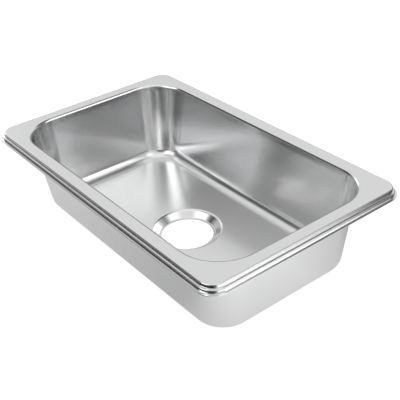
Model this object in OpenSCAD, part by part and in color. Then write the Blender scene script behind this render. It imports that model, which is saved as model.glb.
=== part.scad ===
// Drop-in rectangular sink: one pressed stainless bowl with a stepped rim and an open drain,
// a foam seal and swivel clamps under the rim, and sound pads under the floor.
// Millimetres, +Z up. The origin is under the middle of the drain seat, where the sink stands.

/* [Rim] */
// Length over the outer lip
overall_l = 530; // [480:1:620]
// Width over the outer lip
overall_w = 325; // [290:1:400]
// Radius of the outer lip's corners, seen from above
lip_corner_r = 26; // [20:1:36]
// Width of the flat lip at the outside
lip_w = 3.2; // [2.6:0.2:6]
// Width of the ledge between the lip and the deck
ledge_w = 2.8; // [2.4:0.2:6]
// Drop from the deck to the ledge
ledge_drop = 5.5; // [3:0.5:8]
// Drop from the ledge to the lip
lip_drop = 5.5; // [3:0.5:8]
// Radius of the pressed outer edges
edge_r = 1.4; // [1.2:0.1:1.8]
// Radius at the foot of each step
foot_r = 0.6; // [0.3:0.1:0.9]
// Width of the flat deck between its edge and the bowl's opening
deck_w = 16; // [15:0.5:30]

/* [Bowl] */
// Thickness of the pressed sheet
sheet = 0.8; // [0.7:0.1:1.1]
// Depth from the deck to the floor
bowl_depth = 125; // [100:1:180]
// Tilt of the walls from upright, in degrees
wall_tilt = 8; // [3:0.5:12]
// Radius of the corners at the bowl's opening, seen from above
opening_corner_r = 64; // [48:1:76]
// Radius of the edge between the deck and the wall
mouth_r = 5; // [3:0.5:7]
// Radius between the wall and the floor
floor_r = 18; // [12:1:28]

/* [Drain] */
// Radius of the drain hole
drain_r = 39.5; // [25:0.5:44]
// Depth of the dish from the floor to the flat ring round the hole
seat_depth = 9.5; // [6:0.5:14]
// Width of the flat ring round the hole
seat_w = 2; // [1:0.5:5]
// Slope of the dish's wall from level, in degrees
dish_slope = 45; // [40:1:75]
// Radius of the shoulder where the floor turns down into the dish
shoulder_r = 6; // [2:0.5:8]
// Radius at the foot of the dish's wall
seat_foot_r = 2; // [1:0.5:2.5]

/* [Rim seal] */
// Width of the foam seal
seal_w = 6; // [3:0.5:7]
// How far the foam stands below the lip before it is squeezed
seal_proud = 0.4; // [0.2:0.1:0.8]
// Gap between the foam and the foot of the deck's rounded edge
seal_gap = 0.1; // [0.1:0.1:0.6]

/* [Clamps] */
// Distance from the sink's middle to the clamps on the long sides, along the length
clamp_x = 150; // [60:1:180]
// Radius of the studs
stud_r = 2.5; // [2:0.1:3]
// Length of the studs below their plates
stud_l = 25; // [22:1:30]
// Length of each stud's welded plate, along the rim
plate_l = 18; // [12:1:30]
// Width of each stud's welded plate
plate_w = 7; // [6:0.5:7.5]
// Thickness of each stud's welded plate
plate_t = 1.2; // [0.8:0.1:2]
// Clearance between each plate and the rounded mouth of the bowl
plate_clearance = 0.2; // [0.1:0.1:0.6]
// Reach of the claw from its stud to its tip
claw_reach = 16; // [14:0.5:19]
// Width of the claw
claw_w = 9; // [7:0.5:10]
// Thickness of the claw's steel
claw_t = 1.5; // [1:0.1:2]
// Height of the claw's turned-up tip above its arm
claw_tip_h = 2; // [1:0.5:3]
// Clearance of the claw's hole round the stud
claw_clearance = 0.2; // [0.1:0.05:0.4]
// Radius of the washer
washer_r = 4.9; // [4.2:0.1:5.2]
// Thickness of the washer
washer_t = 1; // [0.6:0.1:1.6]
// Width of the hexagon nut over its flats
nut_flats = 8; // [7:0.5:9]
// Height of the nut
nut_h = 4; // [3:0.5:5]
// Clearance of the washer and the nut round the stud
nut_clearance = 0.06; // [0.03:0.01:0.1]
// Length of stud left showing below the nut with the clamp let down
stud_tail = 1; // [0.5:0.5:3]

/* [Sound pads] */
// Length of each pad, along the sink
pad_l = 105; // [60:1:115]
// Width of each pad, across the sink
pad_w = 170; // [90:1:190]
// Thickness of the pads
pad_t = 2.5; // [1.5:0.5:4]
// Radius of the pads' corners
pad_corner_r = 12; // [4:1:25]
// Gap between the drain's dish and each pad
pad_gap = 17; // [8:1:24]

/* [Hidden] */

$fn = 96;
// How far a cut runs past each face that it opens
cut_past = 1;
// Steps in each kind of bend
small_bend_steps = 3;
mouth_bend_steps = 5;
floor_bend_steps = 7;

// Levels, from the ground up
seat_z = sheet;
floor_z = seat_z + seat_depth;
deck_z = floor_z + bowl_depth;
ledge_z = deck_z - ledge_drop;
lip_z = ledge_z - lip_drop;

// Distances in from the outer lip
deck_d = lip_w + ledge_w;
opening_d = deck_d + deck_w;

// The pressed sheet as rows of bends. Each bend holds its centre as a distance in and a level, its radius on
// the sheet's upper face and on its lower face, its first and last angle, and its number of steps.
mouth_end = [
    opening_d + mouth_r * cos(wall_tilt),
    deck_z - mouth_r + mouth_r * sin(wall_tilt),
];
floor_bend_z = floor_z + floor_r;
floor_bend_d = mouth_end[0]
    + (floor_r - (floor_bend_z - mouth_end[1]) * sin(wall_tilt)) / cos(wall_tilt);
rim_bends = [
    [lip_w - foot_r, lip_z + foot_r, foot_r, foot_r + sheet, -90, 0, small_bend_steps],
    [lip_w + edge_r, ledge_z - edge_r, edge_r, edge_r - sheet, 180, 90, small_bend_steps],
    [deck_d - foot_r, ledge_z + foot_r, foot_r, foot_r + sheet, -90, 0, small_bend_steps],
    [deck_d + edge_r, deck_z - edge_r, edge_r, edge_r - sheet, 180, 90, small_bend_steps],
];
wall_bends = [
    [opening_d, deck_z - mouth_r, mouth_r, mouth_r - sheet, 90, wall_tilt, mouth_bend_steps],
    [floor_bend_d, floor_bend_z, floor_r, floor_r + sheet, 180 + wall_tilt, 270, floor_bend_steps],
];

// A bend's points at one radius
function bend_line(b, r) = [
    for (i = [0 : b[6]])
        let (a = b[4] + (b[5] - b[4]) * i / b[6])
            [b[0] + r * cos(a), b[1] + r * sin(a)]
];

// The closed section of a strip of sheet: its upper line, then its lower line back again. A level stretch can
// run up to the first bend from a given point, and on from the last bend to another.
function reversed(points) = [for (i = [len(points) - 1 : -1 : 0]) points[i]];
function lowered(points) = [for (p = points) p - [0, sheet]];
function section(bends, from = [], to = []) = concat(
    from,
    [for (b = bends) each bend_line(b, b[2])],
    to,
    lowered(to),
    reversed([for (b = bends) each bend_line(b, b[3])]),
    lowered(from)
);

// Runs a section round a rectangle whose corners are round. The section's first value is its distance in.
module swept(l, w, r, points) {
    for (side = [0 : 3])
        let (along = side % 2 == 0 ? w : l, out = side % 2 == 0 ? l : w)
            rotate([0, 0, 90 * side]) {
                translate([out / 2, along / 2 - r, 0])
                    rotate([90, 0, 0])
                        linear_extrude(along - 2 * r)
                            polygon([for (p = points) [-p[0], p[1]]]);
                translate([out / 2 - r, along / 2 - r, 0])
                    rotate_extrude(angle = 90)
                        polygon([for (p = points) [r - p[0], p[1]]]);
            }
}

// A flat plate with round corners, its underside at the origin's level
module rounded_plate(l, w, r, t) {
    linear_extrude(t)
        union() {
            square([l - 2 * r, w], center = true);
            square([l, w - 2 * r], center = true);
            for (x = [-1, 1], y = [-1, 1])
                translate([x * (l / 2 - r), y * (w / 2 - r)])
                    circle(r = r);
        }
}

// The stepped rim, with a strip of the deck
deck_flat_d = deck_d + edge_r;
deck_strip = 2;
rim_inner_d = deck_flat_d + deck_strip;
module rim() {
    swept(
        overall_l, overall_w, lip_corner_r,
        section(rim_bends, from = [[0, lip_z]], to = [[rim_inner_d, deck_z]])
    );
}

// The flat deck between the rim and the bowl's opening
module deck() {
    translate([0, 0, deck_z - sheet])
        difference() {
            rounded_plate(
                overall_l - 2 * rim_inner_d, overall_w - 2 * rim_inner_d, lip_corner_r - rim_inner_d, sheet
            );
            translate([0, 0, -cut_past])
                rounded_plate(
                    overall_l - 2 * opening_d, overall_w - 2 * opening_d, opening_corner_r,
                    sheet + 2 * cut_past
                );
        }
}

// The bowl's walls from the mouth to the start of the flat floor
module walls() {
    swept(
        overall_l - 2 * opening_d, overall_w - 2 * opening_d, opening_corner_r,
        [for (p = section(wall_bends)) p - [opening_d, 0]]
    );
}

// The drain's dish in section: a rounded shoulder, a straight slope, a rounded foot and a flat ring.
// Its radii are counted from the drain's axis.
seat_r = drain_r + seat_w;
slope_rise = seat_depth - (shoulder_r + seat_foot_r) * (1 - cos(dish_slope));
dish_r = seat_r + (shoulder_r + seat_foot_r) * sin(dish_slope) + slope_rise / tan(dish_slope);
dish_bends = [
    [dish_r, floor_z - shoulder_r, shoulder_r, shoulder_r - sheet, 90, 90 + dish_slope, mouth_bend_steps],
    [seat_r, seat_z + seat_foot_r, seat_foot_r, seat_foot_r + sheet, dish_slope - 90, -90, mouth_bend_steps],
];

// The flat floor, with a round hole for the drain's dish
module floor_plate() {
    translate([0, 0, floor_z - sheet])
        difference() {
            rounded_plate(
                overall_l - 2 * floor_bend_d, overall_w - 2 * floor_bend_d,
                opening_corner_r - (floor_bend_d - opening_d), sheet
            );
            translate([0, 0, -cut_past])
                cylinder(r = dish_r, h = sheet + 2 * cut_past);
        }
}

module drain_dish() {
    rotate_extrude()
        polygon(section(dish_bends, to = [[drain_r, seat_z]]));
}

module basin() {
    color("silver")
        union() {
            rim();
            deck();
            walls();
            floor_plate();
            drain_dish();
        }
}

// The foam strip under the deck, close inside the rim's step
seal_d = deck_flat_d + seal_gap;
seal_bottom_z = lip_z - sheet - seal_proud;
module rim_seal() {
    color("dimgray")
        translate([0, 0, seal_bottom_z])
            difference() {
                rounded_plate(
                    overall_l - 2 * seal_d, overall_w - 2 * seal_d,
                    lip_corner_r - seal_d, deck_z - sheet - seal_bottom_z
                );
                translate([0, 0, -cut_past])
                    rounded_plate(
                        overall_l - 2 * (seal_d + seal_w), overall_w - 2 * (seal_d + seal_w),
                        lip_corner_r - seal_d - seal_w, deck_z
                    );
            }
}

// The pads are stuck flat under the floor, one at each side of the drain
module sound_pad(side) {
    color("darkslategray")
        translate([side * (dish_r + pad_gap + pad_l / 2), 0, floor_z - sheet - pad_t])
            rounded_plate(pad_l, pad_w, pad_corner_r, pad_t);
}

// Each clamp stands at its stud's axis, turned so that its local +X points out over the worktop
stud_d = opening_d - plate_clearance - plate_w / 2;
clamp_out_x = overall_l / 2 - stud_d;
clamp_out_y = overall_w / 2 - stud_d;
clamps = [
    [-clamp_x, -clamp_out_y, -90],
    [clamp_x, -clamp_out_y, -90],
    [clamp_out_x, 0, 0],
    [clamp_x, clamp_out_y, 90],
    [-clamp_x, clamp_out_y, 90],
    [-clamp_out_x, 0, 180],
];
stud_top_z = deck_z - sheet - plate_t;
nut_z = stud_top_z - stud_l + stud_tail;
washer_z = nut_z + nut_h;
claw_z = washer_z + washer_t;

module at_clamp(i) {
    translate([clamps[i - 1][0], clamps[i - 1][1], 0])
        rotate([0, 0, clamps[i - 1][2]])
            children();
}

module stud() {
    translate([-plate_w / 2, -plate_l / 2, stud_top_z])
        cube([plate_w, plate_l, plate_t]);
    translate([0, 0, stud_top_z - stud_l])
        cylinder(r = stud_r, h = stud_l);
}

module clamp_studs() {
    color("gainsboro")
        for (i = [1 : len(clamps)])
            at_clamp(i)
                stud();
}

// The claw is stored along the rim, and swings out to reach under the worktop
module claw(i) {
    color("lightgray")
        at_clamp(i)
            translate([0, 0, claw_z])
                difference() {
                    union() {
                        cylinder(r = claw_w / 2, h = claw_t);
                        translate([-claw_w / 2, -claw_reach, 0])
                            cube([claw_w, claw_reach, claw_t]);
                        translate([-claw_w / 2, -claw_reach, 0])
                            cube([claw_w, claw_t, claw_t + claw_tip_h]);
                    }
                    translate([0, 0, -cut_past])
                        cylinder(r = stud_r + claw_clearance, h = claw_t + 2 * cut_past);
                }
}

module washer(i) {
    color("gainsboro")
        at_clamp(i)
            translate([0, 0, washer_z])
                difference() {
                    cylinder(r = washer_r, h = washer_t);
                    translate([0, 0, -cut_past])
                        cylinder(r = stud_r + nut_clearance, h = washer_t + 2 * cut_past);
                }
}

module nut(i) {
    color("darkgray")
        at_clamp(i)
            translate([0, 0, nut_z])
                difference() {
                    cylinder(r = nut_flats / 2 / cos(30), h = nut_h, $fn = 6);
                    translate([0, 0, -cut_past])
                        cylinder(r = stud_r + nut_clearance, h = nut_h + 2 * cut_past);
                }
}

basin();
rim_seal();
sound_pad(-1);  // sound_pad_left
sound_pad(1);  // sound_pad_right
clamp_studs();
for (i = [1 : len(clamps)]) {
    claw(i);
    washer(i);
    nut(i);
}
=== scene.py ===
import math

import bmesh
import bpy
from mathutils import Matrix, Vector


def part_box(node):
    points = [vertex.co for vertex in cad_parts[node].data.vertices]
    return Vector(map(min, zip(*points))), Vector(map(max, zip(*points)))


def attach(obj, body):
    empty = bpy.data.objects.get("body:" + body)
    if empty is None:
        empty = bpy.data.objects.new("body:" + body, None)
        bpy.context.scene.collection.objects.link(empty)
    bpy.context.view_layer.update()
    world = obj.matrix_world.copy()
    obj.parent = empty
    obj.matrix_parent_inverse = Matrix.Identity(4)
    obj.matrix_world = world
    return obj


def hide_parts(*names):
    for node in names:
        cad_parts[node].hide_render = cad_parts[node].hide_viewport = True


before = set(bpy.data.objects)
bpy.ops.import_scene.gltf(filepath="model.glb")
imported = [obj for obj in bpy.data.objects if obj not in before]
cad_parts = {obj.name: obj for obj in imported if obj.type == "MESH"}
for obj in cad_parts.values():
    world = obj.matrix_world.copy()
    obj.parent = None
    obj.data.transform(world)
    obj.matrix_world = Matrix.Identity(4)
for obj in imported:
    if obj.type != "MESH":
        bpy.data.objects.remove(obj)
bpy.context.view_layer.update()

MM = 0.001

# Sizes of the pressed sheet. The frame gives the outer ones.
basin_low, basin_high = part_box("basin")
rim_length = basin_high.x - basin_low.x
rim_width = basin_high.y - basin_low.y
deck_level = basin_high.z
sheet = 0.8 * MM
lip_corner = 26 * MM
lip_width = 3.2 * MM
ledge_width = 2.8 * MM
ledge_drop = 5.5 * MM
lip_drop = 5.5 * MM
edge_radius = 1.4 * MM
foot_radius = 0.6 * MM
deck_width = 16 * MM
opening_corner = 64 * MM
mouth_radius = 5 * MM
wall_tilt = math.radians(8)
floor_radius = 18 * MM
bowl_depth = 125 * MM
drain_radius = 39.5 * MM
seat_width = 2 * MM
seat_radius = drain_radius + seat_width
seat_foot_radius = 2 * MM
dish_slope = math.radians(45)
shoulder_radius = 6 * MM

floor_level = deck_level - bowl_depth
seat_level = basin_low.z + sheet
ledge_level = deck_level - ledge_drop
lip_level = ledge_level - lip_drop
deck_inset = lip_width + ledge_width
opening_inset = deck_inset + deck_width

# Steps round each corner of a plate, and the points in a loop round all four
corner_steps = 16
loop_points = 4 * (corner_steps + 1)

# Points this near to each other are merged, and a point this near to a plane counts as lying on it
merge_distance = 1e-6
on_plane = 1e-5


# Camera, at the photograph's viewing angle. Its place is in lengths of the deck.
deck_length = rim_length - 2 * deck_inset
view_azimuth = math.radians(53.71)
view_elevation = math.radians(32.46)
view_roll = math.radians(-3.59)
view_distance = 1.897 * deck_length
view_target = Vector((0.211 * deck_length, -0.102 * deck_length, deck_level))
lens = 68.96
sensor_width = 36


def make_camera():
    back = Vector((
        math.sin(view_azimuth) * math.cos(view_elevation),
        -math.cos(view_azimuth) * math.cos(view_elevation),
        math.sin(view_elevation),
    ))
    level_right = (-back).cross(Vector((0, 0, 1))).normalized()
    level_up = back.cross(level_right)
    right = math.cos(view_roll) * level_right + math.sin(view_roll) * level_up
    up = back.cross(right)
    data = bpy.data.cameras.new("camera")
    data.lens = lens
    data.sensor_width = sensor_width
    camera = bpy.data.objects.new("camera", data)
    turn = Matrix((right, up, back)).transposed().to_4x4()
    camera.matrix_world = Matrix.Translation(view_target + back * view_distance) @ turn
    bpy.context.scene.collection.objects.link(camera)
    bpy.context.scene.camera = camera


make_camera()


# Modelling helpers
def deselect_all():
    bpy.ops.object.select_all(action="DESELECT")


def arc(centre, radius, first, last, steps):
    """Points of a bend, each a distance and a level, from its first to its last angle in degrees."""
    points = []
    for i in range(steps + 1):
        angle = math.radians(first + (last - first) * i / steps)
        points.append((centre[0] + radius * math.cos(angle), centre[1] + radius * math.sin(angle)))
    return points


def rounded_plate(name, length, width, corner, level, centre=(0, 0)):
    """Leaves a flat plate with round corners in edit mode, with its face selected."""
    deselect_all()
    bpy.ops.mesh.primitive_plane_add(size=1, location=(*centre, level))
    plate = bpy.context.object
    plate.name = name
    plate.scale = (length, width, 1)
    bpy.ops.object.transform_apply(location=True, rotation=False, scale=True)
    bpy.ops.object.mode_set(mode="EDIT")
    bpy.ops.mesh.select_all(action="SELECT")
    bpy.ops.mesh.bevel(offset=corner, segments=corner_steps, affect="VERTICES", clamp_overlap=False)
    bpy.ops.mesh.select_mode(type="FACE")
    bpy.ops.mesh.select_all(action="SELECT")
    return plate


def extrude(outward, rise):
    """Draws what is selected along X and up, and leaves the new end selected."""
    bpy.ops.mesh.extrude_region_move(TRANSFORM_OT_translate={"value": (outward, 0, rise)})


def press(points):
    """Draws the selected face in and up or down through a row of points, as a press would."""
    for before, after in zip(points, points[1:]):
        inward, rise = after[0] - before[0], after[1] - before[1]
        if inward > merge_distance:
            bpy.ops.mesh.inset(thickness=inward, depth=rise, use_even_offset=True)
        else:
            extrude(0, rise)


def drop_face():
    """Deletes the selected face, which the press has finished with, and leaves edit mode."""
    bpy.ops.mesh.delete(type="ONLY_FACE")
    bpy.ops.object.mode_set(mode="OBJECT")


def select_open_edges(level):
    """Selects the open edges that lie at a level."""
    mesh = bmesh.from_edit_mesh(bpy.context.object.data)
    for edge in mesh.edges:
        on_level = all(abs(v.co.z - level) < on_plane for v in edge.verts)
        edge.select_set(edge.is_boundary and on_level)
    bmesh.update_edit_mesh(bpy.context.object.data)


def select_faces(chosen):
    """Selects the faces whose middle and normal pass a test."""
    mesh = bmesh.from_edit_mesh(bpy.context.object.data)
    bpy.ops.mesh.select_all(action="DESELECT")
    for face in mesh.faces:
        face.select_set(chosen(face.calc_center_median(), face.normal))
    mesh.select_flush_mode()
    bmesh.update_edit_mesh(bpy.context.object.data)


def select_points(chosen):
    """Selects the points whose place passes a test, and the edges between them."""
    mesh = bmesh.from_edit_mesh(bpy.context.object.data)
    bpy.ops.mesh.select_all(action="DESELECT")
    for point in mesh.verts:
        point.select_set(chosen(point.co))
    mesh.select_flush(True)
    bmesh.update_edit_mesh(bpy.context.object.data)


def turned(name, points, steps, ends="joined"):
    """Turns a row of points, each a radius and a level, round the upright axis.

    The row's two ends are joined to each other, capped with a face each, or left open.
    """
    deselect_all()
    radius, level = points[0]
    fill = "NGON" if ends == "capped" else "NOTHING"
    bpy.ops.mesh.primitive_circle_add(
        vertices=steps, radius=radius, fill_type=fill, location=(0, 0, level),
    )
    ring = bpy.context.object
    ring.name = name
    bpy.ops.object.transform_apply(location=True, rotation=False, scale=False)
    bpy.ops.object.mode_set(mode="EDIT")
    bpy.ops.mesh.select_mode(type="FACE" if ends == "capped" else "EDGE")
    bpy.ops.mesh.select_all(action="SELECT")
    row = [*points, points[0]] if ends == "joined" else points
    for before, after in zip(row, row[1:]):
        extrude(0, after[1] - before[1])
        scale = after[0] / before[0]
        bpy.ops.transform.resize(value=(scale, scale, 1), center_override=(0, 0, after[1]))
    if ends != "open":
        close_mesh()
    bpy.ops.object.mode_set(mode="OBJECT")
    return ring


def close_mesh():
    """Merges doubled points in edit mode and turns every face outward."""
    bpy.ops.mesh.select_all(action="SELECT")
    bpy.ops.mesh.remove_doubles(threshold=merge_distance)
    bpy.ops.mesh.normals_make_consistent(inside=False)


def shaped_by(piece, tool, operation):
    """Cuts, crosses or joins a piece with another, which is used up."""
    cut = piece.modifiers.new("shape", "BOOLEAN")
    cut.operation = operation
    cut.solver = "EXACT"
    cut.object = tool
    bpy.context.view_layer.objects.active = piece
    bpy.ops.object.modifier_apply(modifier=cut.name)
    bpy.data.objects.remove(tool)


def soften_edges(piece, width, segments, sharpest=50):
    """Rounds a piece's edges that turn by more than an angle in degrees."""
    soften = piece.modifiers.new("edges", "BEVEL")
    soften.width = width
    soften.segments = segments
    soften.limit_method = "ANGLE"
    soften.angle_limit = math.radians(sharpest)
    bpy.context.view_layer.objects.active = piece
    bpy.ops.object.modifier_apply(modifier=soften.name)


def finish_mesh(piece, angle=35):
    """Shades a piece smooth, but for edges that turn by more than an angle in degrees."""
    deselect_all()
    piece.select_set(True)
    bpy.context.view_layer.objects.active = piece
    bpy.ops.object.shade_smooth_by_angle(angle=math.radians(angle))


# The pressed basin: the stepped rim from one plate, the bowl from a second and the drain's dish from a ring.
# A profile is a row of points, each a distance and a level. The distance is in from the lip's edge, or out
# from the drain's axis. Narrow flat strips beside the bends keep the shading of the flat faces even.
def rim_profile():
    """From the lip's outer edge up over both steps to the deck."""
    lip_strip, deck_strip = 0.3 * MM, 0.4 * MM
    foot_steps, edge_steps = 4, 6
    return [
        (0, lip_level),
        (lip_strip, lip_level),
        *arc((lip_width - foot_radius, lip_level + foot_radius), foot_radius, -90, 0, foot_steps),
        *arc((lip_width + edge_radius, ledge_level - edge_radius), edge_radius, 180, 90, edge_steps),
        *arc((deck_inset - foot_radius, ledge_level + foot_radius), foot_radius, -90, 0, foot_steps),
        *arc((deck_inset + edge_radius, deck_level - edge_radius), edge_radius, 180, 90, edge_steps),
        (deck_inset + edge_radius + deck_strip, deck_level),
    ]


def bowl_profile():
    """From the deck over the mouth and down the leaning wall to the floor."""
    mouth_steps, wall_steps, floor_steps = 10, 12, 16
    strip = 0.5 * MM
    tilt = math.degrees(wall_tilt)
    mouth_end = (
        opening_inset + mouth_radius * math.cos(wall_tilt),
        deck_level - mouth_radius + mouth_radius * math.sin(wall_tilt),
    )
    bend_level = floor_level + floor_radius
    bend_inset = mouth_end[0] + (
        floor_radius - (bend_level - mouth_end[1]) * math.sin(wall_tilt)
    ) / math.cos(wall_tilt)
    mouth = arc((opening_inset, deck_level - mouth_radius), mouth_radius, 90, tilt, mouth_steps)
    bend = arc((bend_inset, bend_level), floor_radius, 180 + tilt, 270, floor_steps)
    wall = [
        tuple(a + (b - a) * i / wall_steps for a, b in zip(mouth[-1], bend[0]))
        for i in range(1, wall_steps)
    ]
    start = (opening_inset - strip, deck_level)
    end = (bend_inset + strip, floor_level)
    return [start, *mouth, *wall, *bend, end]


def dish_profile():
    """From the floor over the shoulder and down the slope to the flat ring round the drain hole."""
    shoulder_steps, foot_steps = 8, 6
    strip = 0.5 * MM
    slope = math.degrees(dish_slope)
    bends = shoulder_radius + seat_foot_radius
    rise = floor_level - seat_level - bends * (1 - math.cos(dish_slope))
    dish_radius = seat_radius + bends * math.sin(dish_slope) + rise / math.tan(dish_slope)
    shoulder_centre = (dish_radius, floor_level - shoulder_radius)
    foot_centre = (seat_radius, seat_level + seat_foot_radius)
    return [
        (dish_radius + strip, floor_level),
        *arc(shoulder_centre, shoulder_radius, 90, 90 + slope, shoulder_steps),
        *arc(foot_centre, seat_foot_radius, slope - 90, -90, foot_steps),
        (seat_radius - strip, seat_level),
        (drain_radius + strip, seat_level),
        (drain_radius, seat_level),
    ]


def make_basin():
    rim = rounded_plate("pressed_basin", rim_length, rim_width, lip_corner, lip_level)
    press(rim_profile())
    drop_face()
    bowl_points = bowl_profile()
    start = bowl_points[0][0]
    bowl = rounded_plate(
        "bowl", rim_length - 2 * start, rim_width - 2 * start,
        opening_corner + opening_inset - start, deck_level,
    )
    press(bowl_points)
    drop_face()
    dish = turned("dish", dish_profile(), loop_points, ends="open")
    deselect_all()
    for part in (rim, bowl, dish):
        part.select_set(True)
    bpy.context.view_layer.objects.active = rim
    bpy.ops.object.join()
    bpy.ops.object.mode_set(mode="EDIT")
    bpy.ops.mesh.select_mode(type="EDGE")
    for level in (deck_level, floor_level):
        select_open_edges(level)
        bpy.ops.mesh.bridge_edge_loops()
    bpy.ops.mesh.select_all(action="SELECT")
    bpy.ops.mesh.normals_make_consistent(inside=False)
    bpy.ops.object.mode_set(mode="OBJECT")
    deck_face = max(rim.data.polygons, key=lambda face: face.center.z)
    if deck_face.normal.z < 0:
        bpy.ops.object.mode_set(mode="EDIT")
        bpy.ops.mesh.flip_normals()
        bpy.ops.object.mode_set(mode="OBJECT")
    wall = rim.modifiers.new("sheet", "SOLIDIFY")
    wall.thickness = sheet
    wall.offset = -1
    wall.use_even_offset = True
    bpy.ops.object.modifier_apply(modifier=wall.name)
    finish_mesh(rim)
    return rim


basin = make_basin()
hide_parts("basin")
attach(basin, "sink")


# The foam seal under the deck: one strip with a crowned lower edge, its ends butted at the back
def make_seal():
    low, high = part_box("rim_seal")
    width = 6 * MM
    crown, crown_steps = 2.2 * MM, 6
    # The joint is cut in the faces within a reach of the middle, and drawn in to a shallow groove
    joint_reach, groove, squeeze = 100 * MM, 0.4 * MM, (1, 0.88, 0.94)
    corner = lip_corner - (low.x - basin_low.x)
    seal = rounded_plate("foam_seal", high.x - low.x, high.y - low.y, corner, high.z)
    press([
        (0, high.z),
        *arc((crown, low.z + crown), crown, 180, 270, crown_steps),
        *arc((width - crown, low.z + crown), crown, 270, 360, crown_steps),
        (width, high.z),
    ])
    bpy.ops.mesh.delete(type="ONLY_FACE")
    select_faces(lambda middle, normal: middle.z > high.z - on_plane)
    bpy.ops.mesh.delete(type="ONLY_FACE")
    bpy.ops.mesh.select_mode(type="EDGE")
    select_open_edges(high.z)
    bpy.ops.mesh.bridge_edge_loops()
    select_faces(lambda middle, normal: middle.y > high.y - 2 * width and abs(middle.x) < joint_reach)
    bpy.ops.mesh.bisect(plane_co=(0, 0, 0), plane_no=(1, 0, 0))
    bpy.ops.mesh.bevel(offset=groove, segments=2, affect="EDGES")
    select_points(lambda place: place.y > 0 and abs(place.x) < groove / 8)
    strip_middle = (0, high.y - width / 2, (low.z + high.z) / 2)
    bpy.ops.transform.resize(value=squeeze, center_override=strip_middle)
    close_mesh()
    bpy.ops.object.mode_set(mode="OBJECT")
    finish_mesh(seal)
    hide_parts("rim_seal")
    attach(seal, "sink")
    return seal


# The sound pads under the floor, pressed with a waffle of shallow cells
def make_pad(side):
    node = "sound_pad_" + side
    low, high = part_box(node)
    middle = (low + high) / 2
    name = "waffle_pad_" + side
    corner, border = 12 * MM, 7 * MM
    edge, edge_steps = 0.8 * MM, 4
    cells_along, cells_across = 8, 14
    half_rib, cell_slope, cell_depth = 0.9 * MM, 0.5 * MM, 0.6 * MM
    pad = rounded_plate(name, high.x - low.x, high.y - low.y, corner, high.z, middle.xy)
    press([(0, high.z), *arc((edge, low.z + edge), edge, 180, 270, edge_steps), (border, low.z)])

    def on_panel(place, normal):
        inside_x = abs(place.x - middle.x) < (high.x - low.x) / 2 - border
        inside_y = abs(place.y - middle.y) < (high.y - low.y) / 2 - border
        return place.z < low.z + on_plane and inside_x and inside_y

    for axis, cells in enumerate((cells_along, cells_across)):
        start, end = low[axis] + border, high[axis] - border
        for i in range(1, cells):
            select_faces(on_panel)
            place, across = [0, 0, 0], [0, 0, 0]
            place[axis] = start + (end - start) * i / cells
            across[axis] = 1
            bpy.ops.mesh.bisect(plane_co=place, plane_no=across)
    select_faces(on_panel)
    bpy.ops.mesh.inset(thickness=half_rib, depth=0, use_individual=True)
    bpy.ops.mesh.inset(thickness=cell_slope, depth=cell_depth, use_individual=True)
    close_mesh()
    bpy.ops.object.mode_set(mode="OBJECT")
    finish_mesh(pad)
    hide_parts(node)
    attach(pad, "sink")
    return pad


# The clamps, each modelled once round the upright axis and then copied to its six places
stud_radius = 2.5 * MM
stud_length = 25 * MM
thread_pitch = 0.8 * MM
thread_depth = 0.43 * MM
plate_width = 7 * MM
plate_length = 18 * MM
plate_thickness = 1.2 * MM
claw_width = 9 * MM
claw_reach = 16 * MM
claw_thickness = 1.5 * MM
claw_tip = 2 * MM
claw_bore = 2.7 * MM
bore_radius = 2.56 * MM
washer_radius = 4.9 * MM
washer_thickness = 1 * MM
nut_flats = 8 * MM
nut_height = 4 * MM
round_steps = 48
# Edges that turn by more than this many degrees stay sharp
crisp_angle = 30
# The way each clamp faces, in degrees from +X
clamp_turns = (-90, -90, 0, 90, 90, 180)


def make_thread():
    """A threaded rod that hangs from the origin, its upper end sunk in the plate."""
    deselect_all()
    crest, root = stud_radius, stud_radius - thread_depth
    flat, flank = thread_pitch / 8, thread_pitch * 3 / 8
    turn_steps, blank_steps = 20, 40
    spare = 2 * thread_pitch
    overhang, sunk = 0.73 * MM, 0.43 * MM
    chamfer, clear = 0.6 * MM, 0.1 * MM
    bottom = -stud_length - spare
    bpy.ops.mesh.primitive_plane_add(size=thread_pitch, location=(crest, 0, bottom))
    rod = bpy.context.object
    bpy.ops.object.transform_apply(location=True, rotation=False, scale=False)
    bpy.ops.object.mode_set(mode="EDIT")
    bpy.ops.mesh.select_mode(type="VERT")
    bpy.ops.mesh.select_all(action="SELECT")
    bpy.ops.mesh.merge(type="CENTER")
    for outward, rise in ((0, flat), (root - crest, flank), (0, flat), (crest - root, flank)):
        extrude(outward, rise)
    bpy.ops.object.mode_set(mode="OBJECT")
    screw = rod.modifiers.new("thread", "SCREW")
    screw.angle = 2 * math.pi
    screw.screw_offset = thread_pitch
    screw.iterations = math.ceil((stud_length + 2 * spare) / thread_pitch)
    screw.steps = screw.render_steps = turn_steps
    bpy.ops.object.modifier_apply(modifier=screw.name)
    bpy.ops.object.mode_set(mode="EDIT")
    close_mesh()
    for level, upward in ((overhang, 1), (-stud_length - overhang, -1)):
        bpy.ops.mesh.select_all(action="SELECT")
        bpy.ops.mesh.bisect(
            plane_co=(0, 0, level), plane_no=(0, 0, upward), use_fill=True, clear_outer=True,
            threshold=merge_distance,
        )
    close_mesh()
    bpy.ops.object.mode_set(mode="OBJECT")
    blank = turned("blank", [
        (crest + clear, sunk), (crest + clear, chamfer - stud_length), (crest - chamfer, -stud_length),
    ], blank_steps, ends="capped")
    shaped_by(rod, blank, "INTERSECT")
    return rod


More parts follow.
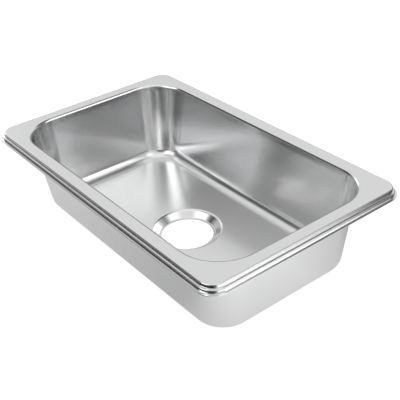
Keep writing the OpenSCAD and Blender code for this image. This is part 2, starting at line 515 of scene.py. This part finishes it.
def make_stud():
    """A threaded stud on its welded plate, with a collar of weld and two spot welds."""
    deselect_all()
    corner, corner_segments, edge = 1.2 * MM, 5, 0.2 * MM
    spot_radius, spot_depth, spot_place = 3 * MM, 0.25 * MM, 0.34 * plate_length
    # The collar's radii and levels, in millimetres
    collar = ((3.9, 0.3), (3.9, 0), (3.5, -0.25), (3, -0.6), (2.6, -1.2))
    collar_steps = 32
    bpy.ops.mesh.primitive_cube_add(size=1, location=(0, 0, plate_thickness / 2))
    plate = bpy.context.object
    plate.name = "welded_stud"
    plate.scale = (plate_width, plate_length, plate_thickness)
    bpy.ops.object.transform_apply(location=True, rotation=False, scale=True)
    bpy.ops.object.mode_set(mode="EDIT")
    bpy.ops.mesh.select_mode(type="EDGE")
    mesh = bmesh.from_edit_mesh(plate.data)
    for line in mesh.edges:
        line.select_set(abs(line.verts[0].co.z - line.verts[1].co.z) > plate_thickness / 2)
    bmesh.update_edit_mesh(plate.data)
    bpy.ops.mesh.bevel(offset=corner, segments=corner_segments, affect="EDGES")
    bpy.ops.mesh.select_mode(type="FACE")
    bpy.ops.object.mode_set(mode="OBJECT")
    soften_edges(plate, edge, 2)
    for end in (-1, 1):
        deselect_all()
        bpy.ops.mesh.primitive_uv_sphere_add(
            segments=24, ring_count=16, radius=spot_radius,
            location=(0, end * spot_place, spot_depth - spot_radius),
        )
        shaped_by(plate, bpy.context.object, "DIFFERENCE")
    weld = turned("weld", [(r * MM, level * MM) for r, level in collar], collar_steps, ends="capped")
    shaped_by(plate, make_thread(), "UNION")
    shaped_by(plate, weld, "UNION")
    finish_mesh(plate, crisp_angle)
    return plate


def faces_up(normal):
    return normal.z > 0.9


def make_claw():
    """A stamped claw with a round hub, a ribbed arm and a turned-up toothed tip."""
    deselect_all()
    half = claw_width / 2
    hub_steps = 12
    tip_start, top = claw_thickness - claw_reach, claw_thickness + claw_tip
    tooth_cuts, tooth_depth = 6, 0.8 * MM
    rib_start, rib_end, rib_half = -5.8 * MM, -13 * MM, 1.6 * MM
    rib_slope, rib_height = 0.7 * MM, 0.5 * MM
    tip_bend, tip_steps = 1.3 * MM, 5
    edge, chamfer = 0.12 * MM, 0.2 * MM

    def on_arm(middle, normal):
        level = abs(middle.z - claw_thickness) < on_plane
        return level and faces_up(normal) and tip_start < middle.y < 0

    def on_rib(middle, normal):
        return faces_up(normal) and abs(middle.x) < on_plane and rib_end < middle.y < rib_start

    def on_tip(middle, normal):
        return middle.z > claw_thickness + 0.3 * claw_tip and abs(normal.x) < 0.5

    def in_notch(place):
        return place.z > top - on_plane and round((place.x + half) / claw_width * tooth_cuts) % 2 == 1

    bpy.ops.mesh.primitive_plane_add(size=1, location=(0, (half - claw_reach) / 2, 0))
    claw = bpy.context.object
    claw.name = "clamp_claw"
    claw.scale = (claw_width, claw_reach + half, 1)
    bpy.ops.object.transform_apply(location=True, rotation=False, scale=True)
    bpy.ops.object.mode_set(mode="EDIT")
    bpy.ops.mesh.select_mode(type="VERT")
    select_points(lambda place: place.y > 0)
    bpy.ops.mesh.bevel(offset=half, segments=hub_steps, affect="VERTICES", clamp_overlap=False)
    bpy.ops.mesh.select_all(action="SELECT")
    bpy.ops.mesh.remove_doubles(threshold=merge_distance)
    bpy.ops.mesh.select_mode(type="FACE")
    bpy.ops.mesh.select_all(action="SELECT")
    extrude(0, claw_thickness)
    close_mesh()
    bpy.ops.mesh.select_all(action="SELECT")
    bpy.ops.mesh.bisect(plane_co=(0, tip_start, 0), plane_no=(0, 1, 0))
    select_faces(lambda middle, normal: middle.y < tip_start and faces_up(normal))
    extrude(0, claw_tip)
    for i in range(1, tooth_cuts):
        select_faces(on_tip)
        bpy.ops.mesh.bisect(plane_co=(-half + claw_width * i / tooth_cuts, 0, 0), plane_no=(1, 0, 0))
    select_points(in_notch)
    bpy.ops.transform.translate(value=(0, 0, -tooth_depth))
    for y in (rib_start, rib_end):
        select_faces(on_arm)
        bpy.ops.mesh.bisect(plane_co=(0, y, 0), plane_no=(0, 1, 0))
    for x in (-rib_half, rib_half):
        select_faces(on_arm)
        bpy.ops.mesh.bisect(plane_co=(x, 0, 0), plane_no=(1, 0, 0))
    select_faces(on_rib)
    bpy.ops.mesh.inset(thickness=rib_slope, depth=rib_height)
    select_points(lambda place: place.y < -claw_reach + on_plane and place.z < on_plane)
    bpy.ops.mesh.bevel(offset=tip_bend, segments=tip_steps, affect="EDGES")
    close_mesh()
    bpy.ops.object.mode_set(mode="OBJECT")
    soften_edges(claw, edge, 1)
    hole = turned("hole", [
        (claw_bore + 2 * chamfer, -chamfer), (claw_bore, chamfer),
        (claw_bore, claw_thickness - chamfer), (claw_bore + 2 * chamfer, claw_thickness + chamfer),
    ], round_steps, ends="capped")
    shaped_by(claw, hole, "DIFFERENCE")
    finish_mesh(claw, crisp_angle)
    return claw


def make_washer():
    bore, rim, thick, edge = bore_radius, washer_radius, washer_thickness, 0.15 * MM
    washer = turned("plain_washer", [
        (bore + edge, 0), (bore, edge), (bore, thick - edge), (bore + edge, thick),
        (rim - 2 * edge, thick), (rim, thick - edge), (rim, edge), (rim - 2 * edge, 0),
    ], round_steps)
    finish_mesh(washer, crisp_angle)
    return washer


def make_nut():
    """A hexagon nut: a turned blank with chamfers and a bore, crossed with a hexagon."""
    bore, bore_chamfer = bore_radius, 0.45 * MM
    face_radius, face_chamfer = 3.85 * MM, 0.5 * MM
    clear, overlap = 0.1 * MM, 1 * MM
    corner = nut_flats / 2 / math.cos(math.pi / 6)
    nut = turned("hexagon_nut", [
        (bore + bore_chamfer, 0), (bore, bore_chamfer),
        (bore, nut_height - bore_chamfer), (bore + bore_chamfer, nut_height),
        (face_radius, nut_height), (corner + clear, nut_height - face_chamfer),
        (corner + clear, face_chamfer), (face_radius, 0),
    ], 2 * round_steps)
    deselect_all()
    bpy.ops.mesh.primitive_cylinder_add(
        vertices=6, radius=corner, depth=nut_height + 2 * overlap, location=(0, 0, nut_height / 2),
        rotation=(0, 0, math.pi / 6),
    )
    shaped_by(nut, bpy.context.object, "INTERSECT")
    finish_mesh(nut, crisp_angle)
    return nut


def set_at(pattern, name, place, turn):
    """Copies a pattern to a place, with its own mesh there."""
    deselect_all()
    pattern.select_set(True)
    bpy.context.view_layer.objects.active = pattern
    bpy.ops.object.duplicate(linked=False)
    piece = bpy.context.object
    piece.name = name
    piece.location = place
    piece.rotation_euler = (0, 0, math.radians(turn))
    bpy.ops.object.transform_apply(location=True, rotation=True, scale=False)
    return piece


def make_clamps():
    stud, claw, washer, nut = make_stud(), make_claw(), make_washer(), make_nut()
    studs, moving = [], []
    stud_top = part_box("clamp_studs")[1].z - plate_thickness
    for number, turn in enumerate(clamp_turns, 1):
        low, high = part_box(f"washer_{number}")
        x, y = (low.x + high.x) / 2, (low.y + high.y) / 2
        studs.append(set_at(stud, f"stud_{number}", (x, y, stud_top), turn))
        for pattern, node in ((claw, "claw"), (washer, "washer"), (nut, "nut")):
            node = f"{node}_{number}"
            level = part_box(node)[0].z
            piece = set_at(pattern, f"{pattern.name}_{number}", (x, y, level), turn)
            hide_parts(node)
            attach(piece, node)
            moving.append(piece)
    for pattern in (stud, claw, washer, nut):
        bpy.data.objects.remove(pattern)
    deselect_all()
    for piece in studs:
        piece.select_set(True)
    bpy.context.view_layer.objects.active = studs[0]
    bpy.ops.object.join()
    studs[0].name = "welded_studs"
    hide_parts("clamp_studs")
    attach(studs[0], "sink")
    return studs[0], moving


seal = make_seal()
pads = [make_pad("left"), make_pad("right")]
studs, clamp_pieces = make_clamps()


# Materials
def new_material(name):
    material = bpy.data.materials.new(name)
    material.use_nodes = True
    nodes = material.node_tree.nodes
    return material, nodes, material.node_tree.links, nodes["Principled BSDF"]


def noise(nodes, links, scale, detail):
    """A cloudy noise. Its scale is in clouds to a metre, more or less."""
    where = nodes.new("ShaderNodeTexCoord")
    cloud = nodes.new("ShaderNodeTexNoise")
    cloud.inputs["Scale"].default_value = scale
    cloud.inputs["Detail"].default_value = detail
    links.new(where.outputs["Object"], cloud.inputs["Vector"])
    return cloud.outputs["Fac"]


def map_range(nodes, links, value, low, high, to_low, to_high):
    change = nodes.new("ShaderNodeMapRange")
    for name, number in (("From Min", low), ("From Max", high), ("To Min", to_low), ("To Max", to_high)):
        change.inputs[name].default_value = number
    links.new(value, change.inputs["Value"])
    return change.outputs["Result"]


def mottle(nodes, links, shader, cloud, first, second):
    """Colours a material between two shades by a noise."""
    colour = nodes.new("ShaderNodeMixRGB")
    colour.inputs["Color1"].default_value = (*first, 1)
    colour.inputs["Color2"].default_value = (*second, 1)
    links.new(cloud, colour.inputs["Fac"])
    links.new(colour.outputs["Color"], shader.inputs["Base Color"])


def add_bump(nodes, links, shader, height, strength, distance):
    bump = nodes.new("ShaderNodeBump")
    bump.inputs["Strength"].default_value = strength
    bump.inputs["Distance"].default_value = distance
    links.new(height, bump.inputs["Height"])
    links.new(bump.outputs["Normal"], shader.inputs["Normal"])


def place_axes(nodes, links):
    """The object's coordinates, each on its own socket."""
    where = nodes.new("ShaderNodeTexCoord")
    place = nodes.new("ShaderNodeSeparateXYZ")
    links.new(where.outputs["Object"], place.inputs["Vector"])
    return place.outputs


def satin_steel():
    """Bright steel with a fine grain, duller below the bowl's mouth and duller again down at its floor."""
    material, nodes, links, shader = new_material("satin_steel")
    shader.inputs["Metallic"].default_value = 1
    cloud = noise(nodes, links, scale=14, detail=3)
    brush = noise(nodes, links, scale=1800, detail=2)
    mottle(nodes, links, shader, cloud, (0.75, 0.755, 0.76), (0.79, 0.79, 0.79))
    add_bump(nodes, links, shader, brush, strength=0.02, distance=0.02 * MM)
    level = place_axes(nodes, links)["Z"]
    roughness = map_range(nodes, links, cloud, 0.3, 0.7, 0.125, 0.155)
    dulling = 0.04
    below_mouth = (deck_level - 14 * MM, deck_level - mouth_radius)
    above_floor = (floor_level, floor_level + floor_radius)
    for low, high in (below_mouth, above_floor):
        added = nodes.new("ShaderNodeMath")
        links.new(roughness, added.inputs[0])
        links.new(map_range(nodes, links, level, low, high, dulling, 0), added.inputs[1])
        roughness = added.outputs["Value"]
    links.new(roughness, shader.inputs["Roughness"])
    return material


def zinc_steel():
    material, nodes, links, shader = new_material("zinc_steel")
    shader.inputs["Metallic"].default_value = 1
    cloud = noise(nodes, links, scale=300, detail=3)
    mottle(nodes, links, shader, cloud, (0.5, 0.51, 0.52), (0.68, 0.68, 0.68))
    links.new(map_range(nodes, links, cloud, 0.3, 0.7, 0.25, 0.45), shader.inputs["Roughness"])
    return material


def dark_rubber(name, first, second, scale):
    material, nodes, links, shader = new_material(name)
    shader.inputs["Roughness"].default_value = 0.85
    cloud = noise(nodes, links, scale, detail=4)
    mottle(nodes, links, shader, cloud, first, second)
    add_bump(nodes, links, shader, cloud, strength=0.4, distance=0.2 * MM)
    return material


def paint(piece, material):
    piece.data.materials.clear()
    piece.data.materials.append(material)


paint(basin, satin_steel())
paint(seal, dark_rubber("foam", (0.012, 0.012, 0.012), (0.03, 0.03, 0.03), 1500))
pad_rubber = dark_rubber("pad_rubber", (0.03, 0.033, 0.036), (0.06, 0.062, 0.065), 700)
for pad in pads:
    paint(pad, pad_rubber)
clamp_metal = zinc_steel()
for piece in (studs, *clamp_pieces):
    paint(piece, clamp_metal)


# Floor and light. The camera sees a white studio, with the sink's own soft shadow on the floor. In the
# steel's reflections the floor is a painted glow instead, with painted shade near the sink and painted light
# farther out.
def make_floor():
    size = 12
    camera_glow = 0.7
    # Factors of the painted glow that the steel mirrors from the floor, low for painted shade and high for
    # painted
    # light: an axis, a stretch along it in metres, and the factor at each end of the stretch
    painted_glow_gradients = (
        ("X", 0.12, 0.4, 0.62, 1.5),
        ("X", -0.25, 0.1, 1.15, 0.85),
        ("Y", 0.05, 0.36, 1, 0.3),
        ("Y", 0.22, 0.33, 1, 0.3),
        ("Y", -0.26, -0.24, 1.3, 1),
        ("Y", -0.295, -0.27, 0.03, 1),
    )
    # A painted dark spot of shade on the mirrored floor beyond the near corner: its place, its inner and
    # outer radius, and its factor
    spot_place = (0.45, -0.3, basin_low.z)
    painted_shade_spot_stretch = (0.06, 0.12, 0.1, 1)
    # Painted light added to the mirrored floor's glow far in front, along Y
    painted_far_light_stretch = (-0.6, -0.4, 0.6, 0)

    deselect_all()
    bpy.ops.mesh.primitive_plane_add(size=size, location=(0, 0, basin_low.z))
    floor = bpy.context.object
    floor.name = "studio_floor"
    bpy.ops.object.transform_apply(location=True, rotation=False, scale=False)
    material, nodes, links, shader = new_material("studio_floor")
    shader.inputs["Base Color"].default_value = (0.8, 0.8, 0.8, 1)
    shader.inputs["Roughness"].default_value = 0.9
    shader.inputs["Specular IOR Level"].default_value = 0
    path = nodes.new("ShaderNodeLightPath")
    glow = nodes.new("ShaderNodeEmission")
    total = nodes.new("ShaderNodeAddShader")
    to_camera = map_range(nodes, links, path.outputs["Is Camera Ray"], 0, 1, 0, camera_glow)
    links.new(to_camera, glow.inputs["Strength"])
    links.new(shader.outputs["BSDF"], total.inputs[0])
    links.new(glow.outputs["Emission"], total.inputs[1])
    place = place_axes(nodes, links)
    painted_glow_factors = [map_range(nodes, links, place[axis], *stretch) for axis, *stretch in painted_glow_gradients]
    where = nodes.new("ShaderNodeTexCoord")
    # The painted shade spot in the mirrored floor's glow, by distance from its place
    spot = nodes.new("ShaderNodeVectorMath")
    spot.operation = "DISTANCE"
    spot.inputs[1].default_value = spot_place
    links.new(where.outputs["Object"], spot.inputs[0])
    painted_glow_factors.append(map_range(nodes, links, spot.outputs["Value"], *painted_shade_spot_stretch))
    product = painted_glow_factors[0]
    for factor in painted_glow_factors[1:]:
        times = nodes.new("ShaderNodeMath")
        times.operation = "MULTIPLY"
        links.new(product, times.inputs[0])
        links.new(factor, times.inputs[1])
        product = times.outputs["Value"]
    painted_glow_strength = nodes.new("ShaderNodeMath")
    links.new(product, painted_glow_strength.inputs[0])
    links.new(map_range(nodes, links, place["Y"], *painted_far_light_stretch), painted_glow_strength.inputs[1])
    # Glossy rays see the floor as this painted glow of light and shade, in place of its lit surface
    mirrored = nodes.new("ShaderNodeEmission")
    links.new(painted_glow_strength.outputs["Value"], mirrored.inputs["Strength"])
    seen = nodes.new("ShaderNodeMixShader")
    links.new(path.outputs["Is Glossy Ray"], seen.inputs["Fac"])
    links.new(total.outputs["Shader"], seen.inputs[1])
    links.new(mirrored.outputs["Emission"], seen.inputs[2])
    links.new(seen.outputs["Shader"], nodes["Material Output"].inputs["Surface"])
    paint(floor, material)


def direction(azimuth, elevation):
    """A unit vector. Azimuth 0 points along +X and 90 along +Y."""
    a, e = math.radians(azimuth), math.radians(elevation)
    return Vector((math.cos(a) * math.cos(e), math.sin(a) * math.cos(e), math.sin(e)))


def make_world():
    diffuse_level = 0.6
    # How bright the mirrored sky is by its height: low at the horizon, then what is added overhead
    horizon_stretch = (0.25, 0.39, 0.3, 0.86)
    overhead_stretch = (0.85, 0.94, 0, 0.2)
    # Bright and dark patches of the mirrored sky: azimuth, elevation, inner and outer angle in degrees, and
    # brightness. A later patch lies over the earlier ones.
    patches = (
        (-100, 36, 15, 29, 2.1),    # a wide window in front
        (218, 26, 10, 24, 0.05),    # dark beyond the left corner
        (-50, 28, 8, 26, 0.15),     # dark round the camera
        (92, 54, 10, 24, 0.1),      # dark high behind
        (66, 36, 12, 24, 0.2),      # dark behind, to the right
        (54, 3, 6, 14, 0.04),       # dark low behind, to the right
        (20, 50, 8, 20, 1.4),       # light high to the right
        (36, 28, 7, 14, 2.6),       # a lamp to the right
        (236, 58, 5, 17, 0.35),     # dim high in front, to the left
        (174, 20, 7, 15, 2.0),      # a lamp to the left
    )
    world = bpy.data.worlds.new("studio")
    bpy.context.scene.world = world
    world.use_nodes = True
    nodes, links = world.node_tree.nodes, world.node_tree.links
    background = nodes["Background"]
    where = nodes.new("ShaderNodeTexCoord")
    towards = nodes.new("ShaderNodeSeparateXYZ")
    links.new(where.outputs["Generated"], towards.inputs["Vector"])
    total = nodes.new("ShaderNodeMath")
    links.new(map_range(nodes, links, towards.outputs["Z"], *horizon_stretch), total.inputs[0])
    links.new(map_range(nodes, links, towards.outputs["Z"], *overhead_stretch), total.inputs[1])
    mirrored = total.outputs["Value"]
    for azimuth, elevation, inner, outer, brightness in patches:
        dot = nodes.new("ShaderNodeVectorMath")
        dot.operation = "DOT_PRODUCT"
        dot.inputs[1].default_value = direction(azimuth, elevation)
        links.new(where.outputs["Generated"], dot.inputs[0])
        fade = nodes.new("ShaderNodeMapRange")
        fade.interpolation_type = "SMOOTHSTEP"
        fade.inputs["From Min"].default_value = math.cos(math.radians(outer))
        fade.inputs["From Max"].default_value = math.cos(math.radians(inner))
        links.new(dot.outputs["Value"], fade.inputs["Value"])
        blend = nodes.new("ShaderNodeMix")
        blend.inputs["B"].default_value = brightness
        links.new(fade.outputs["Result"], blend.inputs["Factor"])
        links.new(mirrored, blend.inputs["A"])
        mirrored = blend.outputs["Result"]
    path = nodes.new("ShaderNodeLightPath")
    seen = nodes.new("ShaderNodeMix")
    seen.inputs["A"].default_value = diffuse_level
    links.new(path.outputs["Is Glossy Ray"], seen.inputs["Factor"])
    links.new(mirrored, seen.inputs["B"])
    camera_white = nodes.new("ShaderNodeMix")
    camera_white.inputs["B"].default_value = 1
    links.new(path.outputs["Is Camera Ray"], camera_white.inputs["Factor"])
    links.new(seen.outputs["Result"], camera_white.inputs["A"])
    links.new(camera_white.outputs["Result"], background.inputs["Strength"])
    background.inputs["Color"].default_value = (1, 1, 1, 1)


make_floor()
make_world()
bpy.context.scene.view_settings.view_transform = "Standard"
